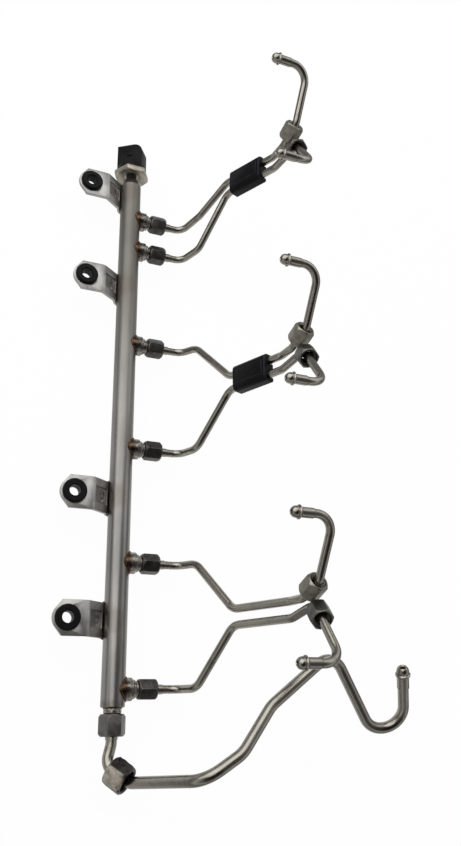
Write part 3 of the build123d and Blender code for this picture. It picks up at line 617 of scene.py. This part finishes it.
class RAIL_OT_nuts(bpy.types.Operator):
    """Ease the edges of the union nuts and cut the threads of the loose ones"""
    bl_idname = "fuel_rail.nuts"
    bl_label = "Union Nuts"

    def execute(self, context):
        width = context.scene.rail_finish.nut_edge
        dark = plated_nut("dark_plated_nut", "3B3A38", "575552", "4A3830")
        far = plated_nut("paler_plated_nut", "77736B", "989388", "6A5A48")
        near = plated_nut("grey_plated_nut", "4E4D4A", "6C6A66", "5A4A3A")
        feed = plated_nut("brown_plated_nut", "5C5B5A", "7A7874", "5E4A36")
        # The pump nut gets one flat painted pale, a painted highlight
        painted_lit_flat = (middle("feed_pump_nut"), PAINTED_LIT_FLAT_WAY, PAINTED_LIT_FLAT_REACH)
        pump = plated_nut("stained_pump_nut_painted_highlight", "3A3937", "55534F", "4A3A2E", painted_lit_flat)
        edge = worn_and_highlight_edge("nut_edge", "A9A59C")
        for name in RAIL_NUTS:
            eased_copy(name, dark, edge, width)
        eased_copy("feed_rail_nut", feed, edge, width)
        for name in LOOSE_NUTS:
            # Loose nuts 2, 4 and 6 get the paler plated tone and nuts 1, 3 and 5 the darker one
            finish = pump if name == "feed_pump_nut" else far if name[-1] in "246" else near
            nut = eased_copy(name, finish, edge, width)
            self.cut_thread(nut, finish, name)
        return {"FINISHED"}

    def cut_thread(self, nut, finish, name):
        """Helical ridge inside the mouth, a triangle swept up the bore."""
        centre, way, half, mouth = nut_axis(nut)
        bpy.ops.object.select_all(action="DESELECT")
        bpy.ops.mesh.primitive_circle_add(vertices=3, radius=THREAD_RIDGE, fill_type="NGON")
        ridge = bpy.context.active_object
        ridge.name = f"{name}_thread"
        crest = mouth - THREAD_DEPTH
        ridge.data.transform(Matrix.Translation((crest, 0, 0)) @ Matrix.Rotation(math.pi / 2, 4, "X")
                             @ Matrix.Rotation(math.pi / 2, 4, "Z"))
        sweep = ridge.modifiers.new("thread", "SCREW")
        sweep.axis = "Z"
        sweep.angle = 2 * math.pi
        sweep.screw_offset = THREAD_PITCH
        sweep.iterations = THREAD_TURNS
        sweep.steps = THREAD_STEPS
        sweep.render_steps = THREAD_STEPS
        only(ridge)
        bpy.ops.object.modifier_apply(modifier=sweep.name)
        bpy.ops.object.mode_set(mode="EDIT")
        bpy.ops.mesh.select_all(action="SELECT")
        bpy.ops.mesh.remove_doubles(threshold=THREAD_MERGE)
        bpy.ops.mesh.normals_make_consistent(inside=False)
        bpy.ops.object.mode_set(mode="OBJECT")
        set_at(ridge, centre + way * (half - THREAD_FROM_MOUTH - THREAD_TURNS * THREAD_PITCH), way)
        ridge.data.materials.append(finish)
        bpy.ops.object.shade_smooth_by_angle(angle=THREAD_SMOOTH)
        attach(ridge, "root")


class RAIL_OT_brackets(bpy.types.Operator):
    """Ease the edges of the pressed brackets and lay their weld beads"""
    bl_idname = "fuel_rail.brackets"
    bl_label = "Brackets"

    def execute(self, context):
        finish = pressed_sheet()
        edge = worn_and_highlight_edge("sheet_edge", "9C9993")
        weld = braze()
        rail = middle("rail_tube")
        low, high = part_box("rail_tube")
        radius = (high[0] - low[0]) / 2 + WELD_LIFT
        for k in BRACKETS:
            name = f"bracket_{k}"
            eased_copy(name, finish, edge, context.scene.rail_finish.sheet_edge)
            low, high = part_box(name)
            for side, y in (("feed", low[1]), ("sensor", high[1])):
                points = [(rail.x + radius * math.cos(a), y, rail.z + radius * math.sin(a))
                          for a in map(math.radians, WELD_ARC)]
                bead(f"{name}_{side}_weld", points, WELD_BEAD, False, weld)
        return {"FINISHED"}


class RAIL_OT_braze(bpy.types.Operator):
    """Lay the braze round each port and round the feed nipple"""
    bl_idname = "fuel_rail.braze"
    bl_label = "Braze"

    def execute(self, context):
        finish = braze()
        rail = middle("rail_tube")
        low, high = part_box("rail_tube")
        end = low[1]
        rail_radius = (high[0] - low[0]) / 2 + BRAZE_LIFT
        for k in PORTS:
            low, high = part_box(f"port_fitting_{k}")
            collar = (high[1] - low[1]) / 2 + BRAZE_LIFT
            y = (high[1] + low[1]) / 2
            points = []
            for angle in map(math.radians, PORT_TURN):
                across = collar * math.sin(angle)
                points.append((rail.x + math.sqrt(rail_radius ** 2 - across ** 2),
                               y + collar * math.cos(angle), rail.z + across))
            bead(f"port_braze_{k}", points, PORT_BEAD, True, finish)
        low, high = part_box("feed_nipple")
        radius = (high[0] - low[0]) / 2
        points = [(rail.x + radius * math.cos(a), end - FEED_SINK, rail.z + radius * math.sin(a))
                  for a in map(math.radians, FEED_TURN)]
        bead("feed_braze", points, FEED_BEAD, True, finish)
        return {"FINISHED"}


class RAIL_OT_marks(bpy.types.Operator):
    """Press the jaw marks round the tubes behind their sleeves"""
    bl_idname = "fuel_rail.marks"
    bl_label = "Tube Marks"

    def execute(self, context):
        finish = dark_mark()
        for k in PORTS:
            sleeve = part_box(f"rail_sleeve_{k}")
            centre = middle(f"rail_sleeve_{k}")
            for number, step in enumerate(JAW_STEPS, start=1):
                place = (sleeve[1][0] + step, centre.y, centre.z)
                ring(f"rail_mark_{k}_{number}", JAW_RADIUS, JAW_WIRE, place, (1, 0, 0), finish)
            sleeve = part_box(f"injector_sleeve_{k}")
            centre = middle(f"injector_sleeve_{k}")
            place = (sleeve[1][0] + TIP_JAW_STEP, centre.y, centre.z)
            ring(f"injector_mark_{k}", JAW_RADIUS, TIP_JAW_WIRE, place, (1, 0, 0), finish)
        return {"FINISHED"}


class RAIL_OT_mouldings(bpy.types.Operator):
    """Ease the edges of the line clips, the sensor and its connector"""
    bl_idname = "fuel_rail.mouldings"
    bl_label = "Clips and Sensor"

    def execute(self, context):
        clip = moulded_plastic("moulded_clip", "060608", "0F0F12", 0.36, 0.5)
        # The clips' eased edges get a lighter copy of their plastic, a painted highlight
        clip_highlight_edge = moulded_plastic("moulded_clip_highlight_edge", "202026", "303038", 0.3, 0.45)
        for name in CLIPS:
            eased_copy(name, clip, clip_highlight_edge, CLIP_EASE)
        housing = moulded_plastic("moulded_connector", "030304", "09090B", 0.34, 0.5)
        # The connector's eased edges get a lighter copy of its plastic, a painted highlight
        housing_highlight_edge = moulded_plastic("moulded_connector_highlight_edge", "121216", "1E1E24", 0.3, 0.45)
        eased_copy("sensor_connector", housing, housing_highlight_edge, CONNECTOR_EASE)
        body = plated_nut("stained_sensor_steel", "8A8478", "B2AB9E", "6A4A2C")
        eased_copy("sensor_body", body, worn_and_highlight_edge("sensor_edge", "BDB8AE"), SENSOR_EASE)
        return {"FINISHED"}


class RAIL_OT_stage(bpy.types.Operator):
    """Lay the floor, hang the lamps, light the world and set the camera"""
    bl_idname = "fuel_rail.stage"
    bl_label = "Stage"

    def execute(self, context):
        settings = context.scene.rail_stage
        self.floor(settings)
        self.lamp("key_lamp", KEY_PLACE, KEY_SIZE, settings.key_power)
        self.lamp("rim_lamp", RIM_PLACE, RIM_SIZE, settings.rim_power)
        self.world(context)
        self.camera(context)
        context.scene.view_settings.view_transform = "Standard"
        return {"FINISHED"}

    def floor(self, settings):
        bpy.ops.object.select_all(action="DESELECT")
        low = CAD_BOX[0][2] - FLOOR_DROP
        bpy.ops.mesh.primitive_plane_add(size=FLOOR_SIZE, location=(0, 0, 0))
        floor = bpy.context.active_object
        floor.name = "studio_floor"
        floor.data.transform(Matrix.Translation((*FLOOR_MIDDLE, low)))
        paper = bpy.data.materials.new("white_paper")
        paper.use_nodes = True
        tree = paper.node_tree
        shader = tree.nodes["Principled BSDF"]
        shader.inputs["Base Color"].default_value = (*settings.floor_colour, 1.0)
        shader.inputs["Roughness"].default_value = 0.9
        shader.inputs["Specular IOR Level"].default_value = 0.0
        # Seen directly the paper is white with the faintest shadow. In a reflection it greys with
        # distance, which the tubes mirror as the darker side of their stripes
        rays = add_node(tree, "ShaderNodeLightPath").outputs
        point = add_node(tree, "ShaderNodeTexCoord").outputs["Object"]
        away = add_node(tree, "ShaderNodeVectorMath", {0: point, 1: PART_MIDDLE}, operation="DISTANCE")
        room = ramp(tree, band(tree, away.outputs["Value"], 190, 520), (0.0, "8C8C8E"), (1.0, "F4F4F4"))
        tone = over(tree, rays["Is Glossy Ray"], (1, 1, 1, 1), room)
        glow = add_node(tree, "ShaderNodeEmission", {"Color": tone, "Strength": 1.0})
        seen = add_node(tree, "ShaderNodeMath", {
            0: rays["Is Camera Ray"], 1: rays["Is Glossy Ray"]}, operation="MAXIMUM").outputs["Value"]
        seen = add_node(tree, "ShaderNodeMath", {
            0: seen, 1: rays["Is Transmission Ray"]}, operation="MAXIMUM").outputs["Value"]
        share = product(tree, seen, PAPER_GLOW)
        blend = add_node(tree, "ShaderNodeMixShader", {
            0: share, 1: shader.outputs["BSDF"], 2: glow.outputs["Emission"]})
        tree.links.new(blend.outputs["Shader"], tree.nodes["Material Output"].inputs["Surface"])
        floor.data.materials.append(paper)

    def lamp(self, name, place, size, power):
        lamp = bpy.data.lights.new(name, "AREA")
        lamp.size = size
        lamp.energy = power
        holder = bpy.data.objects.new(name, lamp)
        bpy.context.collection.objects.link(holder)
        holder.location = PART_MIDDLE + Vector(place)
        holder.rotation_euler = (-Vector(place)).to_track_quat("-Z", "Y").to_euler()

    def world(self, context):
        """Pale all round and dark overhead, as in a light tent with an opening above."""
        world = bpy.data.worlds.new("light_tent")
        context.scene.world = world
        world.use_nodes = True
        tree = world.node_tree
        way = add_node(tree, "ShaderNodeTexCoord").outputs["Generated"]
        dark = Vector(TENT_OPENING).normalized()
        facing = add_node(tree, "ShaderNodeVectorMath", {0: way, 1: dark}, operation="DOT_PRODUCT")
        tent = ramp(tree, facing.outputs["Value"],
                    (0.0, "8C8C8E"), (0.22, "A8A8AA"), (0.34, "F6F6F6"), (0.5, "D8D8D8"), (0.66, "A2A2A4"),
                    (0.8, "6A6A6C"), (0.93, "1C1C1D"))
        rays = add_node(tree, "ShaderNodeLightPath").outputs
        colour = over(tree, rays["Is Camera Ray"], tent, (1, 1, 1, 1))
        tree.links.new(colour, tree.nodes["Background"].inputs["Color"])

    def camera(self, context):
        lens = bpy.data.cameras.new("photo_camera")
        lens.sensor_width = 36
        lens.lens = CAMERA_LENS
        lens.clip_start = 0.01
        camera = bpy.data.objects.new("photo_camera", lens)
        context.collection.objects.link(camera)
        turn = Matrix((CAMERA_RIGHT, CAMERA_UP, CAMERA_BACK)).transposed().to_4x4()
        camera.matrix_world = Matrix.Translation(CAMERA_PLACE) @ turn
        context.scene.camera = camera


class RAIL_PT_panel(bpy.types.Panel):
    """Steps that dress the fuel rail"""
    bl_idname = "RAIL_PT_panel"
    bl_label = "Fuel Rail"
    bl_space_type = "VIEW_3D"
    bl_region_type = "UI"
    bl_category = "Fuel Rail"

    def draw(self, context):
        for step in STEPS:
            self.layout.operator(step.bl_idname)
        for settings in (context.scene.rail_finish, context.scene.rail_stage):
            for name in settings.__annotations__:
                self.layout.prop(settings, name)


STEPS = (RAIL_OT_tubes, RAIL_OT_fittings, RAIL_OT_nuts, RAIL_OT_brackets, RAIL_OT_braze, RAIL_OT_marks,
         RAIL_OT_mouldings, RAIL_OT_stage)


def register():
    for item in (FinishSettings, StageSettings, *STEPS, RAIL_PT_panel):
        bpy.utils.register_class(item)
    bpy.types.Scene.rail_finish = PointerProperty(type=FinishSettings)
    bpy.types.Scene.rail_stage = PointerProperty(type=StageSettings)


def unregister():
    del bpy.types.Scene.rail_stage
    del bpy.types.Scene.rail_finish
    for item in (RAIL_PT_panel, *reversed(STEPS), StageSettings, FinishSettings):
        bpy.utils.unregister_class(item)


def main():
    register()
    bpy.ops.fuel_rail.tubes()
    bpy.ops.fuel_rail.fittings()
    bpy.ops.fuel_rail.nuts()
    bpy.ops.fuel_rail.brackets()
    bpy.ops.fuel_rail.braze()
    bpy.ops.fuel_rail.marks()
    bpy.ops.fuel_rail.mouldings()
    bpy.ops.fuel_rail.stage()


if __name__ == "__main__":
    main()
